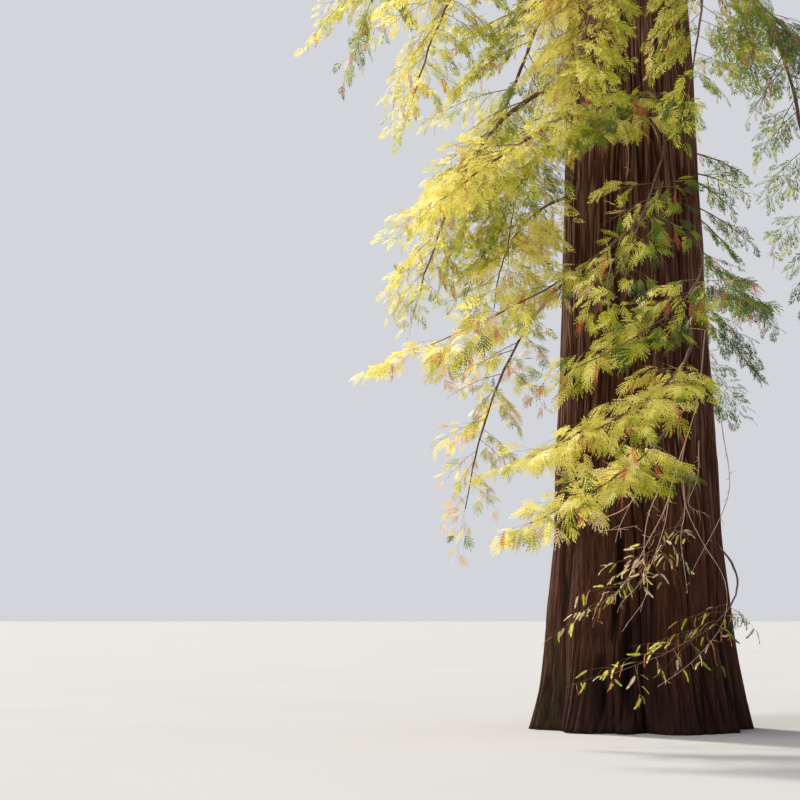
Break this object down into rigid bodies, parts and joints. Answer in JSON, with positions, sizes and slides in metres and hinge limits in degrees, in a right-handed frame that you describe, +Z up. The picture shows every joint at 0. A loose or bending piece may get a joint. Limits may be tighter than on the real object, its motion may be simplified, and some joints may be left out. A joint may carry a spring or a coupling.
{
  "type": "redwood tree",
  "caption": "Tall coast redwood with a fluted, flaring trunk, drooping low boughs with sunlit needle sprays, and a narrow crown.",
  "frame": {"origin": "centre of the flat cut under the trunk, at ground level", "axes": "+Z up along the trunk, -Y towards the viewer of the picture, +X to the viewer's right"},
  "size_m": [9.1901, 8.454, 39.9785],
  "materials": {
    "bark": "rough, deep vertical furrows, dark reddish brown with grey-tan ridges and green moss at the foot",
    "bough_bark": "rough, thin, light reddish brown",
    "sunlit_needles": "soft sheen, yellow-green sunlit needles with some dead rust-red sprays",
    "shaded_needles": "soft sheen, dark green needles"
  },
  "bodies": {
    "root": {"trunk": "bark", "bough_back_1": "bough_bark", "bough_back_2": "bough_bark", "bough_back_3": "bough_bark", "bough_back_4": "bough_bark", "bough_fringe": "bough_bark", "bough_front_high": "bough_bark", "bough_hanging": "bough_bark", "bough_left_high": "bough_bark", "bough_left_low": "bough_bark", "bough_left_mid": "bough_bark", "bough_left_sweep": "bough_bark", "bough_lower_crown_1": "bough_bark", "bough_lower_crown_2": "bough_bark", "bough_lower_crown_3": "bough_bark", "bough_lower_crown_4": "bough_bark", "bough_lower_sunlit": "bough_bark", "bough_lowest": "bough_bark", "bough_right_high": "bough_bark", "bough_right_mid": "bough_bark", "bough_steep_sweep": "bough_bark", "bough_sunlit": "bough_bark", "foliage_back_1": "sunlit_needles", "foliage_back_2": "sunlit_needles", "foliage_back_3": "sunlit_needles", "foliage_back_4": "sunlit_needles", "foliage_fringe": "sunlit_needles", "foliage_front_high": "sunlit_needles", "foliage_hanging": "sunlit_needles", "foliage_leader": "shaded_needles", "foliage_left_high": "sunlit_needles", "foliage_left_low": "sunlit_needles", "foliage_left_mid": "sunlit_needles", "foliage_left_sweep": "sunlit_needles", "foliage_lower_crown_1": "shaded_needles", "foliage_lower_crown_2": "shaded_needles", "foliage_lower_crown_3": "shaded_needles", "foliage_lower_crown_4": "shaded_needles", "foliage_lower_sunlit": "sunlit_needles", "foliage_lowest": "sunlit_needles", "foliage_right_high": "sunlit_needles", "foliage_right_mid": "sunlit_needles", "foliage_steep_sweep": "sunlit_needles", "foliage_sunlit": "sunlit_needles", "foliage_upper_crown_1": "shaded_needles", "foliage_upper_crown_10": "shaded_needles", "foliage_upper_crown_11": "shaded_needles", "foliage_upper_crown_12": "shaded_needles", "foliage_upper_crown_13": "shaded_needles", "foliage_upper_crown_14": "shaded_needles", "foliage_upper_crown_15": "shaded_needles", "foliage_upper_crown_16": "shaded_needles", "foliage_upper_crown_2": "shaded_needles", "foliage_upper_crown_3": "shaded_needles", "foliage_upper_crown_4": "shaded_needles", "foliage_upper_crown_5": "shaded_needles", "foliage_upper_crown_6": "shaded_needles", "foliage_upper_crown_7": "shaded_needles", "foliage_upper_crown_8": "shaded_needles", "foliage_upper_crown_9": "shaded_needles"}
  },
  "joints": []
}
